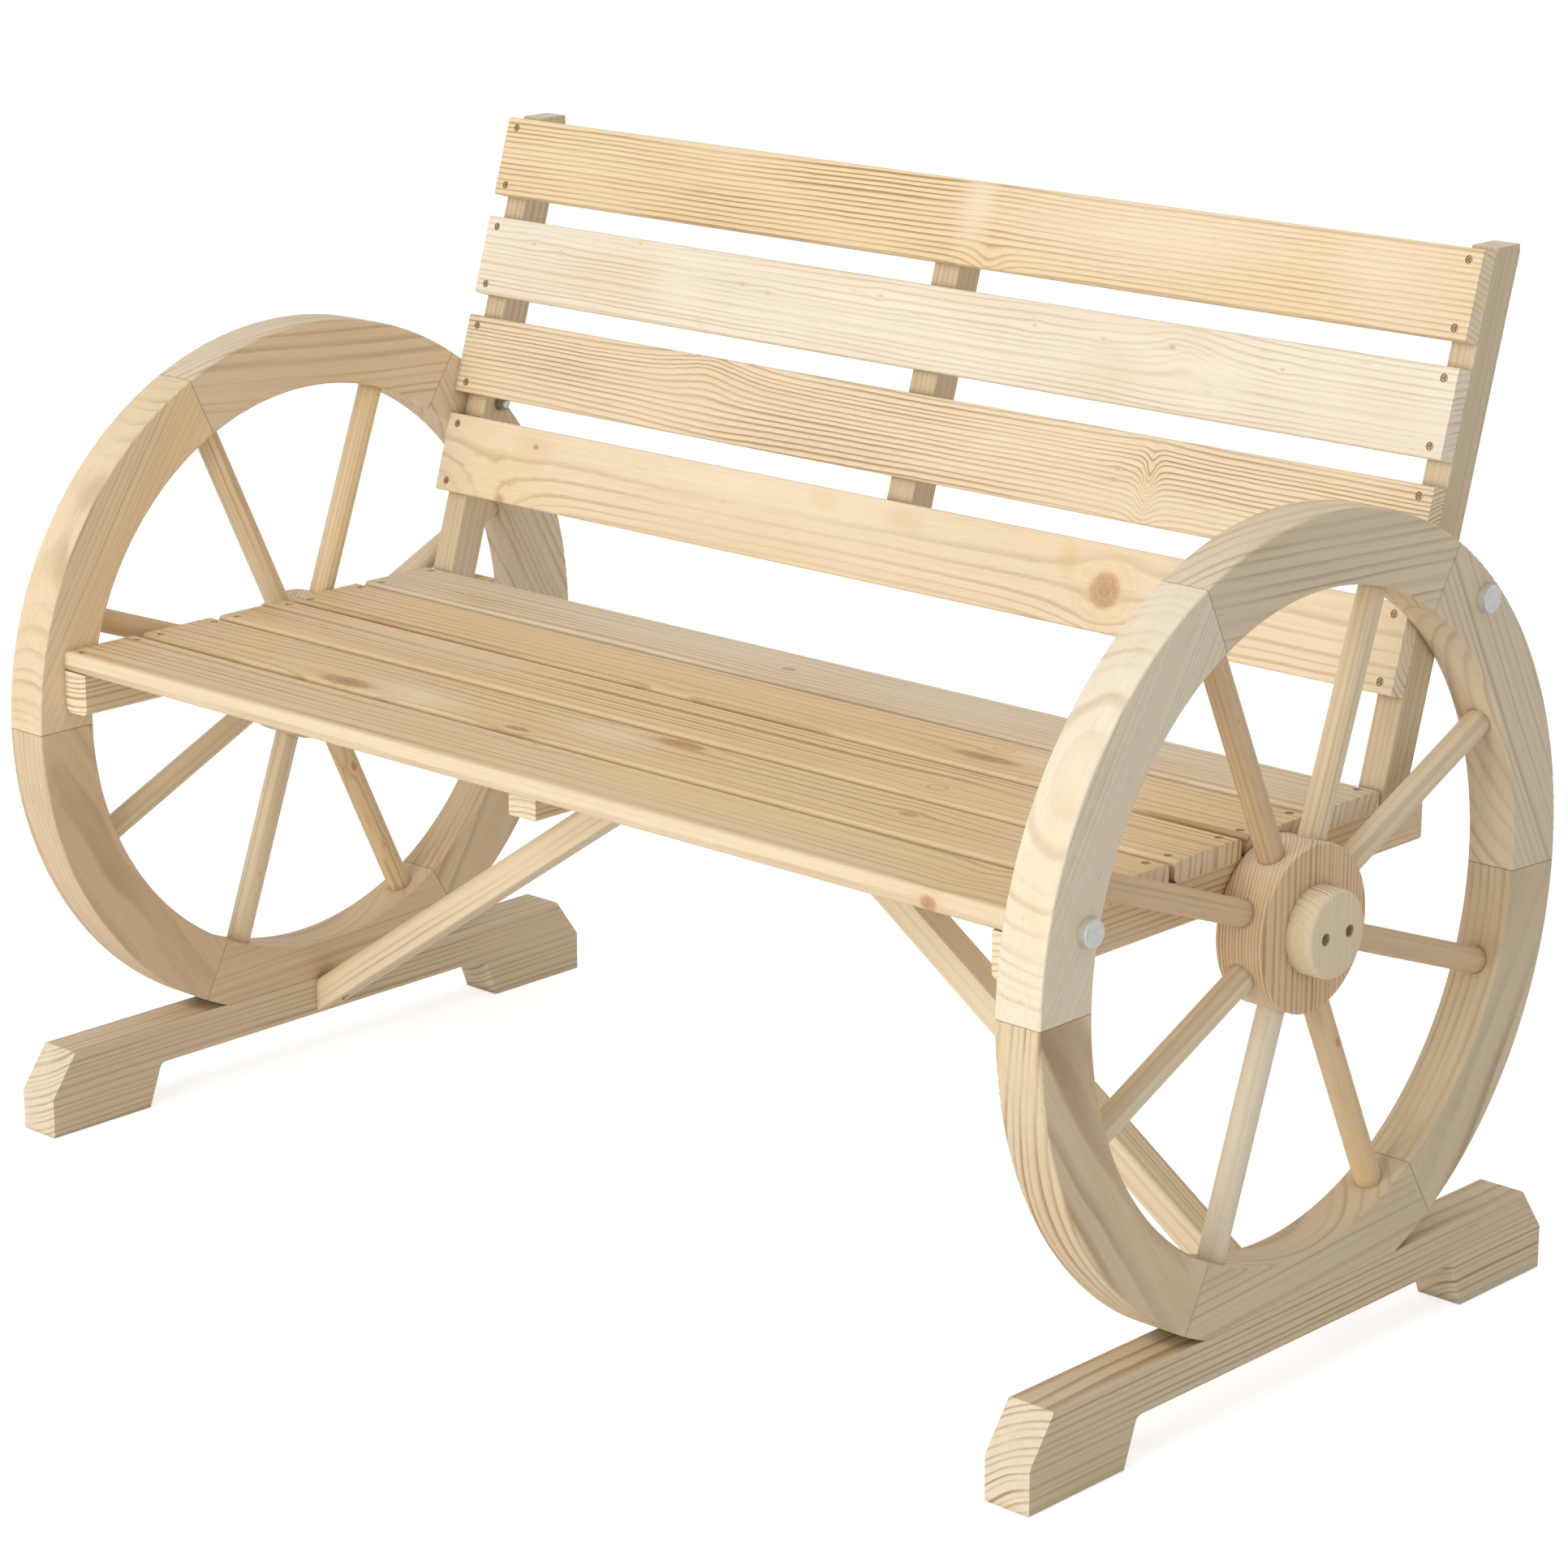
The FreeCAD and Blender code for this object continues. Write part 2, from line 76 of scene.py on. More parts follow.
# Tones of fir: spring wood, summer wood, and the resin-rich streaks between them
Tone = namedtuple("Tone", "spring summer streak")
tones = {
    "milk": Tone((247, 235, 213), (208, 181, 142), (241, 221, 188)),
    "cream": Tone((245, 230, 203), (204, 176, 136), (238, 216, 178)),
    "straw": Tone((242, 223, 189), (185, 153, 112), (236, 206, 161)),
    "gold": Tone((245, 221, 181), (186, 142, 90), (236, 202, 152)),
    "maize": Tone((238, 215, 176), (180, 145, 102), (229, 196, 148)),
    "honey": Tone((236, 208, 164), (176, 136, 90), (225, 185, 133)),
    "sand": Tone((233, 214, 184), (182, 155, 118), (223, 195, 155)),
    "oat": Tone((225, 205, 172), (170, 141, 104), (213, 183, 141)),
    "wheat": Tone((228, 203, 167), (171, 139, 99), (214, 177, 131)),
    "tan": Tone((228, 198, 158), (174, 136, 94), (214, 171, 122)),
    "biscuit": Tone((231, 209, 173), (160, 121, 82), (219, 185, 138)),
    "rust": Tone((235, 206, 164), (172, 122, 76), (221, 180, 128)),
}
knot_light = (208, 161, 117)
knot_dark = (142, 97, 65)
knot_halo = (230, 188, 126)
zinc_light = (222, 221, 217)
zinc_dark = (192, 190, 186)
end_grain = (249, 236, 212)
# The pale colour of sapwood, and the painted sheen of flares.
sapwood_and_sheen_pale = (250, 238, 214)
nut_light = (168, 152, 122)
nut_dark = (98, 86, 66)
screw_light = (216, 198, 162)
screw_dark = (152, 130, 96)

# Fir's figure, in bumps to the metre across the face, into the depth and along the grain
slow_bumps = (7, 7, 2)
quick_bumps = (34, 34, 11)
fine_bumps = (420, 420, 50)
fade_bumps = (24, 24, 4)
fibre_bumps = (950, 950, 20)
thread_bumps = (330, 330, 6)
streak_bumps = (70, 70, 2)
patch_bumps = (12, 12, 3)
warm_bumps = (14, 14, 5)
fleck_bumps = (620, 620, 45)
ragged_bumps = (160, 160, 90)
speckle_bumps = (520, 520, 300)
chip_bumps = (260, 260, 120)

# The wood's fine lengths and their shares, and the seeds that make each board differ
fine_wander = 0.00022
quick_wander_share = 0.16
grain_relief = 0.0003
grain_relief_share = 0.35
# Width of the rounded edges that are lighter from wear and from a painted highlight.
wear_and_highlight_edge = 0.0018
joint_line = 0.0010
joint_dirt_share = 0.45
# Painted shade: how far the ambient occlusion looks for parts that close in a crevice.
crevice_shade_reach = 0.012
seed_shift = (0.731, 0.417, 1.173)
seed_range = 10
dowel_seed = 3.0
board_seed = 7

# A year's growth: where in it the summer wood begins, is full and ends, and how fast the years' widths change
summer_start_share = 0.82
summer_full_share = 0.84
winter_shares = (0.87, 1.0)
pace_share = 0.37
haste_share = 2.0

# From which level of its noise, or of a surface's turn, a feature begins, and at which it is full
fade_levels = (-0.55, 0.45)
streak_levels = (-0.10, 0.75)
warm_levels = (-0.10, 0.70)
fleck_levels = (0.46, 0.70)
chip_levels = (-0.35, 0.45)
end_levels = (0.45, 0.95)
wear_and_highlight_levels = (0.99, 0.80)
# Painted crevice shade begins at the first openness and is full at the second.
crevice_shade_levels = (0.80, 0.30)

# How much each feature changes the wood's colour, light, roughness and height
fade_least_share = 0.15
fade_more_share = 0.95
end_contrast = 0.95
end_colour_share = 0.45
warm_share = 0.40
streak_share = 0.40
halo_share = 0.60
fibre_light = 0.060
thread_light = 0.060
patch_light = 0.060
fleck_light = -0.10
end_light = 0.03
# Painted shade: how much darker the colour gets in crevices and gaps between parts; the same share darkens
# the real joint lines.
joint_and_crevice_shade_light = -0.42
# Edges are lighter partly from wear and partly from a painted highlight.
wear_and_highlight_light = 0.07
wood_rough = 0.60
line_rough = -0.10
fibre_rough = 0.05
worn_rough = 0.08
knot_rough = -0.12
line_height = 0.55
fibre_height = 0.30
worn_height = -0.40
fleck_height = -0.35
wood_gloss = 0.35

# A knot's parts in shares of its radius, and how dark each part is
ragged_share = 0.16
knot_end_share = 1.05
core_shares = (0.55, 0.85)
halo_shares = (0.2, 2.4)
layer_start_shares = (0.9, 1.2)
layer_end_shares = (2.6, 1.2)
layers_to_radius = 2.2
layer_levels = (0.2, 1.0)
layer_halo_share = 0.5
rings_to_radius = 4.0
speckle_wander_share = 0.5
rim_shares = (0.60, 1.0)
heart_shares = (0.65, 0.05)
knot_dark_share = 0.18
ring_dark_share = 0.11
speckle_dark_share = 0.75
heart_dark_share = 0.30
rim_dark_share = 0.30

# Plated steel
spangle_bumps = (240, 240, 240)
scratch_bumps = (900, 900, 120)
spangle_share = 0.45
scratch_relief = 0.0002
scratch_relief_share = 0.2
metal_rough = 0.46
scratch_rough = 0.08
spangle_rough = 0.06
metal_share = 0.4

# How a board was sawn. The pith is given across the board's face and out of it, from its middle. A ring is
# a year's growth, band is the summer wood's share of it, and variety is how much the years differ. Wander is
# how far the rings stray, and contrast is the share of the summer wood's colour that they have.
Board = namedtuple("Board", "tone pith ring band variety wander contrast knots")
# A knot's place is along the grain and across the face, from the board's middle, or across the board's edge.
# Part and spread say how far the grain parts round it, and a lift bends the grain to one side. Colour, halo,
# calm and pale are shares. Core is the share of the colour that its middle has, and edge is the share of the
# radius at which the colour begins to fade.
knot_places = ["along", "across", "radius", "stretch"]
knot_traits = {"part": 0.0, "spread": 1.0, "lift": 0.0, "colour": 0.0, "core": 1.0, "halo": 0.0, "edge": 0.0,
               "calm": 0.0, "pale": 0.0, "on_edge": False}
Knot = namedtuple("Knot", [*knot_places, *knot_traits], defaults=knot_traits.values())
match_radius = 0.0014
match_stretch = 1.9
flame_stretch = 3.2
endless_stretch = 400.0
knot_halo_share = 0.4
# Share of a flare's calm that turns into painted sheen.
flare_sheen_share = 0.45


def knot(along, across, radius, stretch, spread, colour, edge, on_edge=False):
    """A branch cut across."""
    return Knot(along, across, radius, stretch, part=1.0, spread=spread, colour=colour,
                halo=knot_halo_share * colour, edge=edge, on_edge=on_edge)


def eye(along, across, radius, stretch, colour):
    """A branch as pale as the wood round it, with a thin dark outline."""
    return Knot(along, across, radius, stretch, part=1.0, spread=1.6, colour=colour, core=0.12, halo=0.15,
                edge=0.80)


def pin(along, across, radius=match_radius):
    """A twig no wider than a match."""
    return Knot(along, across, radius, match_stretch, part=1.0, spread=2.2, colour=0.38, halo=0.25, edge=0.35)


def flame(along, across, radius, lift=0.0, stretch=flame_stretch):
    """A branch cut lengthwise, which leaves a long reddish tongue."""
    return Knot(along, across, radius, stretch, part=0.8, spread=2.2, lift=lift, colour=0.95, halo=0.50,
                edge=0.60)


def swirl(along, across, radius, stretch, spread, lift, on_edge=False):
    """Grain that bends over a branch hidden below the face."""
    return Knot(along, across, radius, stretch, part=0.35, spread=spread, lift=lift, halo=0.12,
                on_edge=on_edge)


def smudge(along, across, radius, stretch, halo, on_edge=False):
    """A soft amber patch."""
    return Knot(along, across, radius, stretch, halo=halo, on_edge=on_edge)


def flare(along, across, radius, stretch, calm):
    """A soft pale patch of painted sheen, where the grain dips into the face and its lines fade."""
    return Knot(along, across, radius, stretch, calm=calm, pale=flare_sheen_share * calm)


def sapwood(across, width, pale):
    """Paler wood along one edge, from the outside of the trunk."""
    return Knot(0.0, across, width, endless_stretch, pale=pale)


back_boards = [
    Board("straw", (0.022, -0.0312), 0.0056, 0.26, 0.5, 0.0050, 0.68,
          [knot(0.226, -0.001, 0.0152, 1.05, 1.7, 0.72, 0.66),
           swirl(-0.430, -0.034, 0.042, 1.0, 1.4, 0.030), knot(-0.414, -0.031, 0.0065, 1.2, 1.6, 0.65, 0.2),
           knot(-0.384, 0.018, 0.0030, 1.4, 2.0, 0.75, 0.4), smudge(-0.384, 0.018, 0.009, 1.5, 0.5),
           smudge(-0.062, 0.023, 0.005, 2.0, 0.5), smudge(0.023, 0.020, 0.006, 2.2, 0.5),
           smudge(0.187, 0.016, 0.008, 0.8, 0.8), flare(-0.130, 0.020, 0.011, 14.0, 0.75)]),
    Board("straw", (-0.075, -0.050), 0.0032, 0.40, 0.35, 0.0055, 1.20,
          [swirl(0.245, 0.001, 0.020, 0.30, 1.5, 0.013), pin(0.215, 0.004, 0.0012),
           pin(0.213, -0.004, 0.0009), smudge(0.245, 0.004, 0.010, 0.8, 0.4),
           swirl(-0.210, 0.010, 0.030, 1.2, 1.4, -0.006)]),
    Board("milk", (-0.110, -0.030), 0.0045, 0.36, 0.5, 0.0065, 0.80,
          [pin(-0.433, 0.015), pin(-0.400, 0.009, 0.0010), pin(-0.312, 0.029, 0.0014),
           pin(-0.192, 0.010, 0.0010), pin(-0.164, 0.006, 0.0012), pin(-0.047, 0.018, 0.0016),
           pin(0.110, 0.015, 0.0013), pin(0.177, 0.013, 0.0014), swirl(0.255, 0.004, 0.016, 1.4, 1.6, -0.009),
           knot(0.242, 0.015, 0.0024, 1.5, 2.0, 0.45, 0.2), pin(0.343, 0.012),
           smudge(-0.335, 0.005, 0.020, 2.0, 0.25), smudge(0.432, -0.002, 0.011, 1.8, 0.15),
           flare(0.285, -0.004, 0.016, 1.5, 0.9), flare(-0.260, 0.002, 0.014, 1.6, 0.8),
           flare(0.385, 0.0, 0.018, 2.0, 0.6), smudge(0.190, -0.008, 0.012, 2.0, 0.25)]),
    Board("gold", (-0.130, 0.020), 0.0044, 0.40, 0.4, 0.0055, 1.35,
          [swirl(0.052, -0.028, 0.014, 1.1, 1.5, 0.008), flare(0.032, 0.012, 0.026, 0.5, 0.8),
           flare(0.215, 0.004, 0.024, 4.5, 0.82), flare(0.430, 0.0, 0.022, 3.0, 0.72),
           smudge(0.312, -0.008, 0.018, 3.0, 0.25), smudge(0.465, 0.005, 0.016, 2.0, 0.25)]),
]
seat_boards = [
    Board("honey", (0.120, -0.120), 0.0066, 0.36, 0.5, 0.0050, 0.75,
          [pin(-0.028, 0.030, 0.0022), pin(0.218, 0.031, 0.0016), sapwood(-0.0365, 0.0025, 0.36),
           knot(0.411, -0.002, 0.0062, 1.4, 1.8, 0.85, 0.55, True)]),
    Board("honey", (-0.160, 0.035), 0.0084, 0.34, 0.6, 0.0060, 0.74,
          [flame(-0.262, -0.024, 0.0110, 0.004, 3.0), flare(-0.200, -0.016, 0.013, 2.5, 0.8),
           smudge(-0.060, -0.024, 0.009, 3.0, 0.4), flare(-0.010, 0.010, 0.012, 3.0, 0.7),
           flame(0.050, 0.024, 0.0090, -0.004, 3.0), flame(-0.068, -0.028, 0.0050, 0.002),
           knot(0.288, 0.004, 0.0060, 1.6, 1.5, 0.75, 0.6)]),
    Board("honey", (-0.150, 0.020), 0.0080, 0.36, 0.6, 0.0045, 1.10,
          [eye(0.260, -0.012, 0.0072, 1.4, 0.55), flare(-0.300, 0.010, 0.016, 5.0, 0.5)]),
    Board("honey", (-0.100, 0.070), 0.0076, 0.36, 0.6, 0.0060, 0.90,
          [flame(0.235, -0.010, 0.0080, 0.004, 4.5), eye(0.232, 0.014, 0.0062, 1.6, 0.5),
           smudge(0.090, -0.020, 0.010, 2.5, 0.5), swirl(-0.060, -0.029, 0.012, 1.4, 2.0, 0.006),
           flare(0.300, 0.006, 0.014, 3.0, 0.7)]),
    Board("sand", (0.140, -0.050), 0.0078, 0.36, 0.6, 0.0050, 0.80,
          [knot(-0.038, -0.004, 0.0048, 1.7, 1.6, 0.75, 0.6), pin(-0.394, -0.006, 0.0026),
           smudge(0.015, 0.002, 0.008, 2.2, 0.4)]),
]
felloe_boards = {
    "back_low": Board("oat", (0.020, -0.105), 0.0066, 0.40, 0.6, 0.0080, 0.80, []),
    "back_high": Board("sand", (-0.130, 0.060), 0.0066, 0.36, 0.8, 0.0080, 0.75, []),
    "top": Board("sand", (0.120, 0.100), 0.0070, 0.36, 0.8, 0.0080, 0.80, []),
    "front_high": Board("cream", (-0.140, 0.006), 0.0050, 0.34, 0.8, 0.0090, 0.48,
                        [swirl(0.085, 0.0, 0.012, 1.2, 1.8, 0.0, True),
                         smudge(0.030, 0.004, 0.009, 2.2, 0.25, True),
                         smudge(0.062, -0.008, 0.006, 2.0, 0.2, True)]),
    "front_low": Board("biscuit", (0.015, -0.110), 0.0064, 0.40, 0.6, 0.0090, 0.80, []),
    "bottom": Board("oat", (-0.110, -0.060), 0.0066, 0.34, 0.8, 0.0080, 0.45, []),
}
left_tones = {"front_high": "maize", "front_low": "wheat", "back_low": "wheat", "bottom": "wheat"}
hub_board = Board("rust", (0.085, -0.120), 0.0027, 0.40, 0.5, 0.0016, 1.10, [])
cap_board = Board("straw", (0.120, -0.020), 0.0030, 0.40, 0.5, 0.0010, 0.32, [])
skid_boards = {"right": Board("oat", (-0.100, 0.045), 0.0050, 0.36, 0.7, 0.0050, 0.95, []),
               "left": Board("oat", (-0.115, 0.050), 0.0048, 0.36, 0.7, 0.0050, 0.75, [])}
bearer_board = Board("maize", (-0.100, 0.010), 0.0045, 0.42, 0.5, 0.0025, 0.75, [])
post_board = Board("oat", (0.080, -0.060), 0.0038, 0.42, 0.6, 0.0020, 0.55, [])
brace_board = Board("straw", (-0.040, 0.070), 0.0042, 0.42, 0.6, 0.0030, 0.75, [])
spoke_boards = [Board("straw", (0.030, 0.040), 0.0044, 0.45, 0.7, 0.0020, 0.60, []),
                Board("straw", (-0.040, 0.030), 0.0034, 0.50, 0.7, 0.0020, 0.65, []),
                Board("straw", (0.020, -0.050), 0.0040, 0.45, 0.7, 0.0025, 0.60, [pin(0.030, 0.002)])]
knotty_spoke_board = Board("straw", (0.040, -0.030), 0.0036, 0.48, 0.6, 0.0025, 0.60,
                           [knot(-0.043, 0.001, 0.0036, 1.6, 1.6, 0.8, 0.4), pin(0.040, 0.003)])
dowel_board = Board("tan", (0.010, 0.010), 0.0020, 0.50, 0.5, 0.0005, 0.60, [])
knotty_spoke = 1
spoke_tones = {"right": ("honey", "tan", "straw", "straw", "tan", "tan", "straw", "cream"),
               "left": ("honey", "straw", "straw", "gold", "straw", "tan", "straw", "straw")}


# Colours and node trees
def linear(colour):
    """An sRGB colour as the linear colour that a shader takes."""
    def channel(value):
        share = value / 255
        return share / 12.92 if share <= 0.04045 else ((share + 0.055) / 1.055) ** 2.4

    return (*map(channel, colour), 1.0)


class Graph:
    """A node tree with short ways to add nodes. A value may be a number, a colour, a vector or a socket."""

    def __init__(self, tree):
        self.tree = tree

    def add(self, kind, inputs, output=0, **settings):
        node = self.tree.nodes.new("ShaderNode" + kind)
        for name, value in settings.items():
            setattr(node, name, value)
        for key, value in inputs.items():
            self.feed(node.inputs[key], value)
        return node.outputs[output]

    def feed(self, socket, value):
        if isinstance(value, bpy.types.NodeSocket):
            self.tree.links.new(value, socket)
        else:
            socket.default_value = value

    def math(self, operation, *values):
        return self.add("Math", dict(enumerate(values)), operation=operation)

    def vector(self, operation, *values, output="Vector"):
        return self.add("VectorMath", dict(enumerate(values)), output, operation=operation)

    def scaled(self, vector, factor):
        return self.add("VectorMath", {0: vector, "Scale": factor}, operation="SCALE")

    def smooth(self, value, low, high):
        inputs = {"Value": value, "From Min": low, "From Max": high}
        return self.add("MapRange", inputs, interpolation_type="SMOOTHSTEP")

    def mixed(self, factor, first, second, blend="MIX"):
        inputs = {0: factor, 6: first, 7: second}
        return self.add("Mix", inputs, 2, data_type="RGBA", blend_type=blend)

    def between(self, factor, first, second):
        return self.add("Mix", {0: factor, 2: first, 3: second}, 0, data_type="FLOAT")

    def noise(self, position, counts, detail=1.5):
        """Noise between about -1 and 1, with so many bumps to the metre across, deep and along."""
        place = self.vector("MULTIPLY", position, counts)
        inputs = {"Vector": place, "Scale": 1.0, "Detail": detail, "Roughness": 0.5}
        value = self.add("TexNoise", inputs, noise_dimensions="3D")
        return self.math("MULTIPLY_ADD", value, 2.0, -1.0)

    def instance(self, group, inputs):
        node = self.tree.nodes.new("ShaderNodeGroup")
        node.node_tree = group
        for key, value in inputs.items():
            self.feed(node.inputs[key], value)
        return node.outputs


def new_group(name, inputs, outputs):
    """An empty node group with its graph, its entry's sockets and its exit's sockets."""
    tree = bpy.data.node_groups.new(name, "ShaderNodeTree")
    for label, kind in inputs:
        tree.interface.new_socket(label, in_out="INPUT", socket_type="NodeSocket" + kind)
    for label, kind in outputs:
        tree.interface.new_socket(label, in_out="OUTPUT", socket_type="NodeSocket" + kind)
    entry = tree.nodes.new("NodeGroupInput")
    leave = tree.nodes.new("NodeGroupOutput")
    return tree, Graph(tree), entry.outputs, leave.inputs


def knot_group():
    """Parts the grain round a branch that runs through the board, and marks the branch and its halo."""
    carried = [("Position", "Vector"), ("Mask", "Float"), ("Halo", "Float"), ("Rings", "Float")]
    carried += [("Calm", "Float"), ("Pale", "Float")]
    own = [("Straight", "Vector"), ("Centre", "Vector"), ("Plane", "Vector")]
    own += [(label, "Float") for label in ("Radius", "Stretch", "Part", "Spread", "Lift")]
    own += [(label, "Float") for label in ("Colour", "Core", "Edge", "Own Halo", "Own Calm", "Own Pale")]
    tree, graph, given, made = new_group("knot", carried + own, carried)

    apart = graph.vector("SUBTRACT", given["Straight"], given["Centre"])
    away = graph.vector("MULTIPLY", apart, given["Plane"])
    shortening = graph.math("DIVIDE", 1.0, given["Stretch"])
    shortened = graph.add("CombineXYZ", {"X": 1.0, "Y": 1.0, "Z": shortening})
    ragged = graph.math("MULTIPLY", graph.noise(given["Straight"], ragged_bumps), ragged_share)
    distance = graph.vector("LENGTH", graph.vector("MULTIPLY", away, shortened), output="Value")
    share = graph.math("ADD", graph.math("DIVIDE", distance, given["Radius"]), ragged)

    reach = graph.math("DIVIDE", share, given["Spread"])
    nearness = graph.math("DIVIDE", 1.0, graph.math("MULTIPLY_ADD", reach, reach, 1.0))
    across = graph.vector("MULTIPLY", away, (1, 1, 0))
    parting = graph.scaled(across, graph.math("MULTIPLY", nearness, given["Part"]))
    bend = graph.math("MULTIPLY", graph.math("MULTIPLY", nearness, nearness), given["Lift"])
    lift = graph.add("CombineXYZ", {"X": bend, "Y": 0.0, "Z": 0.0})
    parted = graph.vector("SUBTRACT", given["Position"], parting)
    graph.feed(made["Position"], graph.vector("ADD", parted, lift))

    inside = graph.math("SUBTRACT", 1.0, graph.smooth(share, given["Edge"], knot_end_share))
    near = graph.math("SUBTRACT", 1.0, graph.smooth(share, *halo_shares))
    full = graph.between(graph.smooth(share, *core_shares), given["Core"], 1.0)
    own_mask = graph.math("MULTIPLY", graph.math("MULTIPLY", inside, full), given["Colour"])
    wave = graph.math("SINE", graph.math("MULTIPLY", share, layers_to_radius * math.tau))
    layers = graph.smooth(wave, *layer_levels)
    layers = graph.math("MULTIPLY", layers, graph.smooth(share, *layer_start_shares))
    layers = graph.math("MULTIPLY", layers, graph.smooth(share, *layer_end_shares))
    own_halo = graph.math("MULTIPLY", near, given["Own Halo"])
    layers = graph.math("MULTIPLY", layers, layer_halo_share)
    own_halo = graph.math("MULTIPLY_ADD", layers, given["Colour"], own_halo)
    own_calm = graph.math("MULTIPLY", near, given["Own Calm"])
    own_pale = graph.math("MULTIPLY", near, given["Own Pale"])
    graph.feed(made["Mask"], graph.math("MAXIMUM", given["Mask"], own_mask))
    graph.feed(made["Halo"], graph.math("MAXIMUM", given["Halo"], own_halo))
    graph.feed(made["Rings"], graph.between(inside, given["Rings"], share))
    graph.feed(made["Calm"], graph.math("MAXIMUM", given["Calm"], own_calm))
    graph.feed(made["Pale"], graph.math("MAXIMUM", given["Pale"], own_pale))
    return tree


def grain_group():
    """Fir's grain: yearly rings about the pith, fibres, resin streaks, flecks and knots."""
    inputs = [("Position", "Vector"), ("Straight", "Vector"), ("Pith", "Vector")]
    inputs += [(label, "Float") for label in ("Mask", "Halo", "Rings", "Calm", "Pale", "End", "Wear And Edge Highlight", "Joint Line And Crevice Shade")]
    inputs += [(label, "Float") for label in ("Ring", "Band", "Variety", "Wander", "Contrast", "Seed")]
    inputs += [(label, "Color") for label in ("Spring", "Summer", "Streak")]
    outputs = [("Color", "Color"), ("Roughness", "Float"), ("Height", "Float")]
    tree, graph, given, made = new_group("fir grain", inputs, outputs)

    shift = graph.scaled(seed_shift, given["Seed"])
    place = graph.vector("ADD", given["Position"], shift)
    straight = graph.vector("ADD", given["Straight"], shift)

    # Distance from the pith, with the slow and quick wander of a grown trunk
    from_pith = graph.vector("SUBTRACT", given["Position"], given["Pith"])
    distance = graph.vector("LENGTH", graph.vector("MULTIPLY", from_pith, (1, 1, 0)), output="Value")
    slow = graph.math("MULTIPLY", graph.noise(place, slow_bumps, 1.0), given["Wander"])
    quick_wander = graph.math("MULTIPLY", given["Wander"], quick_wander_share)
    quick = graph.math("MULTIPLY", graph.noise(place, quick_bumps, 1.0), quick_wander)
    fine = graph.math("MULTIPLY", graph.noise(place, fine_bumps, 1.0), fine_wander)
    grown = graph.math("ADD", graph.math("ADD", distance, slow), graph.math("ADD", quick, fine))

    # Years of uneven growth, each darkening towards its end
    even = graph.math("DIVIDE", grown, given["Ring"])
    time = graph.math("MULTIPLY_ADD", even, pace_share, given["Seed"])
    pace = graph.add("TexNoise", {"W": time, "Scale": 1.0, "Detail": 1.0}, noise_dimensions="1D")
    haste = graph.math("MULTIPLY", given["Variety"], haste_share)
    years = graph.math("MULTIPLY_ADD", pace, haste, even)
    season = graph.math("FRACT", years)
    begins = graph.math("SUBTRACT", summer_start_share, given["Band"])
    darkening = graph.smooth(season, begins, summer_full_share)
    summer = graph.math("SUBTRACT", darkening, graph.smooth(season, *winter_shares))
    weather = graph.add("TexWhiteNoise", {"W": graph.math("FLOOR", years)}, noise_dimensions="1D")
    strength = graph.math("SUBTRACT", 1.0, graph.math("MULTIPLY", weather, given["Variety"]))
    fade = graph.smooth(graph.noise(straight, fade_bumps), *fade_levels)
    fade = graph.math("MULTIPLY_ADD", fade, fade_more_share, fade_least_share)
    bare = graph.math("SUBTRACT", 1.0, given["Calm"])
    fade = graph.math("MULTIPLY", fade, bare)
    line = graph.math("MULTIPLY", graph.math("MULTIPLY", summer, strength), fade)

    # Fibres, streaks and flecks along the grain
    fibre = graph.noise(straight, fibre_bumps, 2.0)
    thread = graph.noise(straight, thread_bumps, 1.0)
    streak = graph.smooth(graph.noise(place, streak_bumps, 2.0), *streak_levels)
    patch = graph.noise(straight, patch_bumps, 2.0)
    fleck = graph.smooth(graph.noise(straight, fleck_bumps, 0.0), *fleck_levels)

    deeper = graph.math("MULTIPLY", line, graph.between(given["End"], given["Contrast"], end_contrast))
    warm = graph.smooth(graph.noise(place, warm_bumps), *warm_levels)
    warmth = graph.math("MULTIPLY_ADD", warm, warm_share, graph.math("MULTIPLY", streak, streak_share))
    colour = graph.mixed(warmth, given["Spring"], given["Streak"])
    sawn_across = graph.math("MULTIPLY", given["End"], end_colour_share)
    colour = graph.mixed(sawn_across, colour, linear(end_grain))
    # Sapwood turns paler here, and flares take a painted sheen.
    colour = graph.mixed(given["Pale"], colour, linear(sapwood_and_sheen_pale))
    colour = graph.mixed(deeper, colour, given["Summer"])
    light = graph.math("MULTIPLY_ADD", fibre, fibre_light, 1.0)
    light = graph.math("MULTIPLY_ADD", thread, thread_light, light)
    light = graph.math("MULTIPLY_ADD", patch, patch_light, light)
    light = graph.math("MULTIPLY_ADD", fleck, fleck_light, light)
    light = graph.math("MULTIPLY_ADD", given["End"], end_light, light)
    # Painted shade in crevices and gaps between parts, and the real dark joint lines, darken the colour.
    light = graph.math("MULTIPLY_ADD", given["Joint Line And Crevice Shade"], joint_and_crevice_shade_light, light)
    chips = graph.smooth(graph.noise(straight, chip_bumps), *chip_levels)
    worn_and_highlit = graph.math("MULTIPLY", given["Wear And Edge Highlight"], chips)
    # Edges lighten in patches, partly from wear and partly as a painted highlight on their rounding.
    light = graph.math("MULTIPLY_ADD", worn_and_highlit, wear_and_highlight_light, light)
    shade = graph.add("CombineColor", {0: light, 1: light, 2: light})
    colour = graph.mixed(1.0, colour, shade, "MULTIPLY")

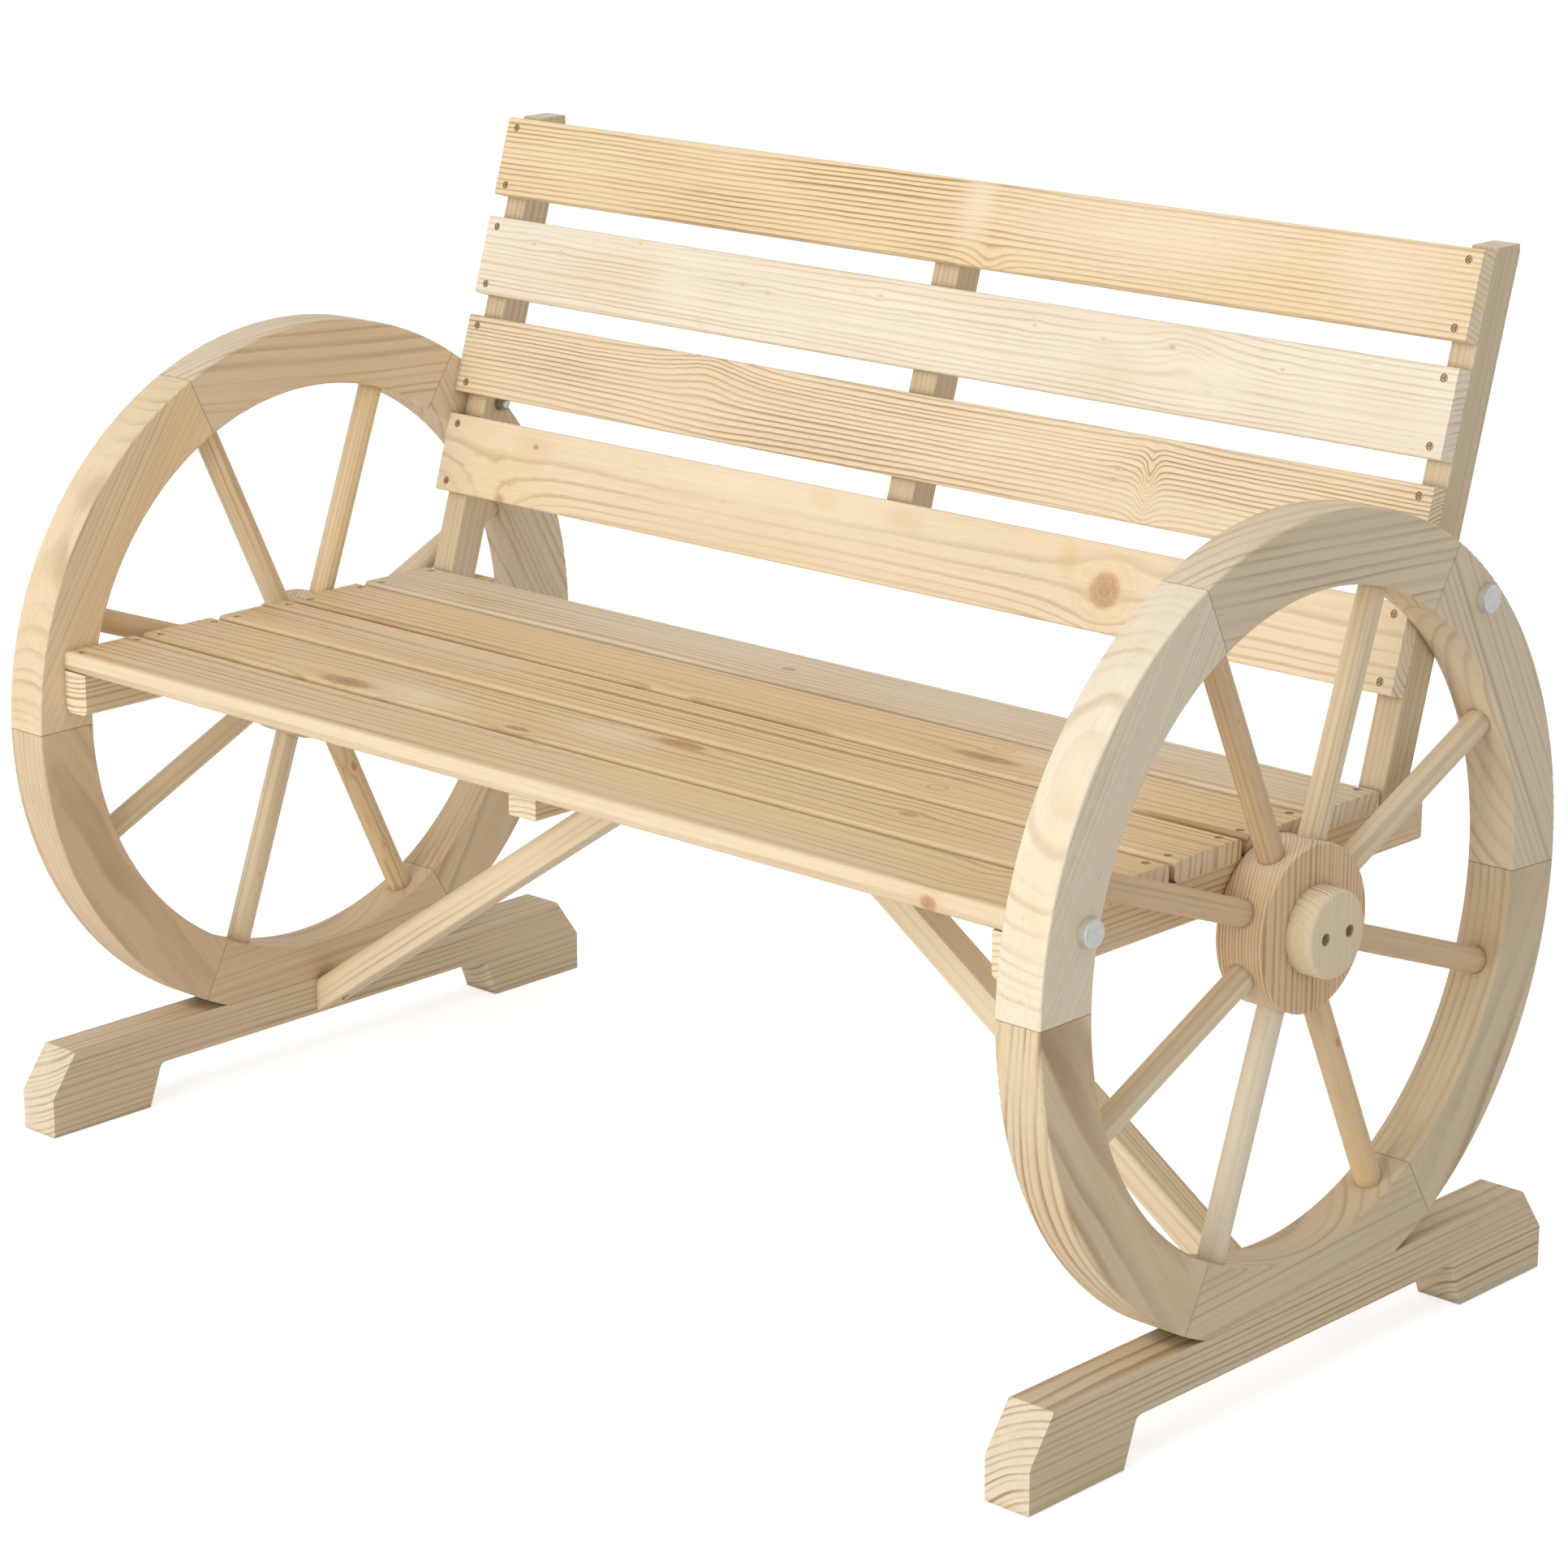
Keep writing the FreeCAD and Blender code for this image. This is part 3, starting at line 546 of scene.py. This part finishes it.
    # Knots, with speckles, faint rings and a darker rim of their own
    colour = graph.mixed(graph.math("MULTIPLY", given["Halo"], halo_share), colour, linear(knot_halo))
    speckle = graph.noise(straight, speckle_bumps, 2.0)
    ring_wander = graph.math("MULTIPLY", speckle, speckle_wander_share)
    ring_number = graph.math("MULTIPLY_ADD", given["Rings"], rings_to_radius, ring_wander)
    ring_wave = graph.math("SINE", graph.math("MULTIPLY", ring_number, math.tau))
    rim = graph.smooth(given["Rings"], *rim_shares)
    heart = graph.smooth(given["Rings"], *heart_shares)
    dark = graph.math("MULTIPLY_ADD", ring_wave, ring_dark_share, knot_dark_share)
    dark = graph.math("MULTIPLY_ADD", speckle, speckle_dark_share, dark)
    dark = graph.math("MULTIPLY_ADD", heart, heart_dark_share, dark)
    dark = graph.math("MULTIPLY_ADD", rim, rim_dark_share, dark)
    knot_colour = graph.mixed(dark, linear(knot_light), linear(knot_dark))
    graph.feed(made["Color"], graph.mixed(given["Mask"], colour, knot_colour))

    rough = graph.math("MULTIPLY_ADD", line, line_rough, wood_rough)
    rough = graph.math("MULTIPLY_ADD", fibre, fibre_rough, rough)
    rough = graph.math("MULTIPLY_ADD", worn_and_highlit, worn_rough, rough)
    graph.feed(made["Roughness"], graph.math("MULTIPLY_ADD", given["Mask"], knot_rough, rough))
    height = graph.math("MULTIPLY_ADD", line, line_height, graph.math("MULTIPLY", fibre, fibre_height))
    height = graph.math("MULTIPLY_ADD", worn_and_highlit, worn_height, height)
    graph.feed(made["Height"], graph.math("MULTIPLY_ADD", fleck, fleck_height, height))
    return tree


KNOT = knot_group()
GRAIN = grain_group()


# Materials
def new_material(name):
    """A material with its graph and its surface shader."""
    material = bpy.data.materials.new(name)
    material.use_nodes = True
    shader = material.node_tree.nodes["Principled BSDF"]
    return material, Graph(material.node_tree), shader


def board_axes(grain, face):
    """A board's own axes as columns: across its face, out of its face and along its grain."""
    along = grain.normalized()
    out = (face - along * face.dot(along)).normalized()
    across = out.cross(along)
    return Matrix((across, out, along)).transposed()


def joint_hairline(graph, place, joints):
    """A share of dirt in the hairline where a piece meets the next one end to end."""
    line = 0.0
    for normal, offset in joints:
        level = graph.vector("DOT_PRODUCT", place, normal, output="Value")
        apart = graph.math("ABSOLUTE", graph.math("SUBTRACT", level, offset))
        line = graph.math("MAXIMUM", graph.smooth(apart, joint_line, 0.0), line)
    return graph.math("MULTIPLY", line, joint_dirt_share)


def fir(name, board, middle, grain, face, seed, joints=()):
    """Fir as it was sawn for one piece. A joint is a plane's normal and its distance from the origin."""
    material, graph, shader = new_material(name)
    axes = board_axes(grain, face)
    coordinates = graph.add("TexCoord", {}, "Object")
    straight = graph.add("Mapping", {"Vector": coordinates, "Location": middle, "Rotation": axes.to_euler()},
                         vector_type="TEXTURE")
    state = {"Position": straight, "Mask": 0.0, "Halo": 0.0, "Rings": 0.0, "Calm": 0.0, "Pale": 0.0}
    for branch in board.knots:
        centre = (0, branch.across, branch.along) if branch.on_edge else (branch.across, 0, branch.along)
        plane = (0, 1, 1) if branch.on_edge else (1, 0, 1)
        outputs = graph.instance(KNOT, {
            **state, "Straight": straight, "Centre": centre, "Plane": plane, "Radius": branch.radius,
            "Stretch": branch.stretch, "Part": branch.part, "Spread": branch.spread, "Lift": branch.lift,
            "Colour": branch.colour, "Core": branch.core, "Own Halo": branch.halo, "Edge": branch.edge,
            "Own Calm": branch.calm, "Own Pale": branch.pale})
        state = {label: outputs[label] for label in state}
    normal = graph.add("NewGeometry", {}, "Normal")
    facing = graph.vector("DOT_PRODUCT", normal, axes.col[2], output="Value")
    end = graph.smooth(graph.math("ABSOLUTE", facing), *end_levels)
    # The bevel node finds the edges, which get wear and a painted highlight.
    rounded = graph.add("Bevel", {"Radius": wear_and_highlight_edge}, samples=2)
    turned = graph.vector("DOT_PRODUCT", rounded, normal, output="Value")
    wear_and_edge_highlight = graph.smooth(turned, *wear_and_highlight_levels)
    # Painted shade: ambient occlusion darkens crevices and gaps between parts, joined with the real dark
    # hairline at the felloes' joints.
    open_share = graph.add("AmbientOcclusion", {"Distance": crevice_shade_reach}, "AO", samples=4)
    crevice_shade = graph.smooth(open_share, *crevice_shade_levels)
    joint_line_and_crevice_shade = graph.math("MAXIMUM", crevice_shade, joint_hairline(graph, coordinates, joints))
    tone = tones[board.tone]
    looks = graph.instance(GRAIN, {
        **state, "Straight": straight, "Pith": (*board.pith, 0), "Ring": board.ring, "Band": board.band,
        "Variety": board.variety, "Wander": board.wander, "Contrast": board.contrast, "End": end,
        "Wear And Edge Highlight": wear_and_edge_highlight, "Joint Line And Crevice Shade": joint_line_and_crevice_shade, "Seed": seed,
        "Spring": linear(tone.spring), "Summer": linear(tone.summer), "Streak": linear(tone.streak)})
    relief = {"Height": looks["Height"], "Strength": grain_relief_share, "Distance": grain_relief}
    bump = graph.add("Bump", relief)
    graph.feed(shader.inputs["Base Color"], looks["Color"])
    graph.feed(shader.inputs["Roughness"], looks["Roughness"])
    graph.feed(shader.inputs["Normal"], bump)
    shader.inputs["Specular IOR Level"].default_value = wood_gloss
    return material


def plated(name, pale, dark):
    """Dull plated steel with fine scratches."""
    material, graph, shader = new_material(name)
    place = graph.add("TexCoord", {}, "Object")
    spangle = graph.noise(place, spangle_bumps, 3.0)
    scratch = graph.noise(place, scratch_bumps, 2.0)
    share = graph.math("MULTIPLY_ADD", spangle, spangle_share, 0.5)
    graph.feed(shader.inputs["Base Color"], graph.mixed(share, linear(pale), linear(dark)))
    rough = graph.math("MULTIPLY_ADD", scratch, scratch_rough, metal_rough)
    graph.feed(shader.inputs["Roughness"], graph.math("MULTIPLY_ADD", spangle, spangle_rough, rough))
    relief = {"Height": scratch, "Strength": scratch_relief_share, "Distance": scratch_relief}
    graph.feed(shader.inputs["Normal"], graph.add("Bump", relief))
    shader.inputs["Metallic"].default_value = metal_share
    return material


# The wood of each piece
def middle_of(node):
    low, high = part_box(node)
    return (low + high) / 2


def dress(node, material):
    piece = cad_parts[node]
    piece.data.materials.clear()
    piece.data.materials.append(material)


chance = random.Random(board_seed)


def dress_fir(node, board, grain, face, joints=()):
    seed = chance.uniform(0, seed_range)
    dress(node, fir(node, board, middle_of(node), grain, face, seed, joints))


def joints_of(node, hub_middle):
    """The two planes through the wheel's axis in which a felloe ends."""
    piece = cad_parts[node]
    radial = middle_of(node) - hub_middle
    start = math.atan2(radial.z, radial.y)
    turns = []
    for vertex in piece.data.vertices:
        place = piece.matrix_world @ vertex.co - hub_middle
        turns.append(math.remainder(math.atan2(place.z, place.y) - start, math.tau))
    ends = (start + min(turns), start + max(turns))
    normals = [Vector((0, -math.sin(turn), math.cos(turn))) for turn in ends]
    return [(normal, normal.dot(hub_middle)) for normal in normals]


def dress_slats():
    for number, board in enumerate(seat_boards, 1):
        dress_fir("seat_slat_%d" % number, board, X_AXIS, Z_AXIS)
    for number, board in enumerate(back_boards, 1):
        dress_fir("back_slat_%d" % number, board, X_AXIS, BACK_FACE)


def dress_wheel(side, out):
    hub_middle = middle_of(side + "_hub")
    for name, board in felloe_boards.items():
        node = "%s_felloe_%s" % (side, name)
        radial = middle_of(node) - hub_middle
        if side == "left":
            board = board._replace(tone=left_tones.get(name, board.tone), knots=[])
        dress_fir(node, board, X_AXIS.cross(radial), out, joints_of(node, hub_middle))
    for number, tone in enumerate(spoke_tones[side], 1):
        node = "%s_spoke_%d" % (side, number)
        board = knotty_spoke_board if number == knotty_spoke else spoke_boards[number % len(spoke_boards)]
        dress_fir(node, board._replace(tone=tone), middle_of(node) - hub_middle, out)
    dress_fir(side + "_hub", hub_board, Z_AXIS, out)
    dress_fir(side + "_hub_cap", cap_board, Z_AXIS, out)


def dress_frame(side, out):
    dress_fir(side + "_skid", skid_boards[side], Y_AXIS, out)
    dress_fir(side + "_bearer", bearer_board, Y_AXIS, out)
    dress_fir(side + "_post", post_board, UP_THE_BACK, BACK_FACE)
    rising = -out * math.cos(brace_slope) + Z_AXIS * math.sin(brace_slope)
    dress_fir(side + "_brace", brace_board, rising, -Y_AXIS)


def dress_fasteners():
    screw_metal = plated("yellow zinc", screw_light, screw_dark)
    for node in ("seat_screws", "back_screws", "centre_screws", "hub_cap_screws", "frame_screws"):
        dress(node, screw_metal)
    nut_metal = plated("dull zinc", nut_light, nut_dark)
    for node in ("bolt_washers", "bolt_nuts"):
        dress(node, nut_metal)
    dress("rim_bolts", plated("white zinc", zinc_light, zinc_dark))
    dowel = fir("felloe_dowels", dowel_board, Vector((0, 0, 0)), Y_AXIS, X_AXIS, dowel_seed)
    dress("felloe_dowels", dowel)


dress_slats()
for side, out in (("right", X_AXIS), ("left", -X_AXIS)):
    dress_wheel(side, out)
    dress_frame(side, out)
dress_fir("centre_bearer", bearer_board, Y_AXIS, X_AXIS)
dress_fir("middle_batten", post_board, UP_THE_BACK, BACK_FACE)
dress_fasteners()


# Camera, light and floor
def direction(azimuth, elevation):
    """The way from the target to a place seen at an azimuth from the front and an elevation."""
    turn = math.radians(azimuth)
    rise = math.radians(elevation)
    return Vector((math.sin(turn) * math.cos(rise), -math.cos(turn) * math.cos(rise), math.sin(rise)))


def add_object(name, data):
    item = bpy.data.objects.new(name, data)
    bpy.context.scene.collection.objects.link(item)
    return item


def aim(item, back, distance):
    item.location = camera_target + back * distance
    item.rotation_mode = "QUATERNION"
    item.rotation_quaternion = (-back).to_track_quat("-Z", "Y")


def make_camera():
    data = bpy.data.cameras.new("camera")
    camera = add_object("camera", data)
    aim(camera, direction(camera_azimuth, camera_elevation), camera_distance)
    camera.rotation_quaternion = camera.rotation_quaternion @ Matrix.Rotation(
        math.radians(camera_roll), 3, "Z").to_quaternion()
    data.sensor_width = camera_sensor * millimetres
    data.lens = focal_pixels / image_size * data.sensor_width
    data.shift_x = 0.5 - principal_pixel[0] / image_size
    data.shift_y = principal_pixel[1] / image_size - 0.5
    bpy.context.scene.camera = camera


def make_lamp(name, place, distance, size, level, colour):
    """A soft square lamp that lights a face turned to it by a share of full light."""
    data = bpy.data.lights.new(name, "AREA")
    data.size = size
    data.energy = level * math.pi ** 2 * distance ** 2
    data.color = linear(colour)[:3]
    aim(add_object(name, data), direction(*place), distance)


def seen_directly(graph):
    """1 for rays from the camera, and for those that come by way of metal or glass."""
    path = graph.tree.nodes.new("ShaderNodeLightPath").outputs
    shiny = graph.math("MAXIMUM", path["Is Glossy Ray"], path["Is Transmission Ray"])
    return graph.math("MAXIMUM", path["Is Camera Ray"], shiny)


def make_sky():
    world = bpy.data.worlds.new("sky")
    world.use_nodes = True
    graph = Graph(world.node_tree)
    colour = graph.mixed(seen_directly(graph), linear(sky_colour), (white_level,) * 3 + (1.0,))
    graph.feed(world.node_tree.nodes["Background"].inputs["Color"], colour)
    bpy.context.scene.world = world


def make_floor():
    mesh = bpy.data.meshes.new("floor")
    half = floor_size / 2
    corners = [(x, y, -floor_drop) for x, y in ((-half, -half), (half, -half), (half, half), (-half, half))]
    mesh.from_pydata(corners, [], [(0, 1, 2, 3)])
    floor = add_object("floor", mesh)
    material, graph, shader = new_material("floor")
    shader.inputs["Base Color"].default_value = linear(floor_colour)
    shader.inputs["Roughness"].default_value = floor_rough
    shader.inputs["Specular IOR Level"].default_value = 0.0
    glow = graph.math("MULTIPLY", seen_directly(graph), floor_glow)
    shader.inputs["Emission Color"].default_value = (1, 1, 1, 1)
    graph.feed(shader.inputs["Emission Strength"], glow)
    mesh.materials.append(material)


make_camera()
make_lamp("key lamp", key_direction, key_distance, key_size, key_level, key_colour)
make_lamp("top lamp", top_direction, top_distance, top_size, top_level, top_colour)
make_lamp("back lamp", back_direction, back_distance, back_size, back_level, back_colour)
make_sky()
make_floor()
bpy.context.scene.view_settings.view_transform = "Standard"
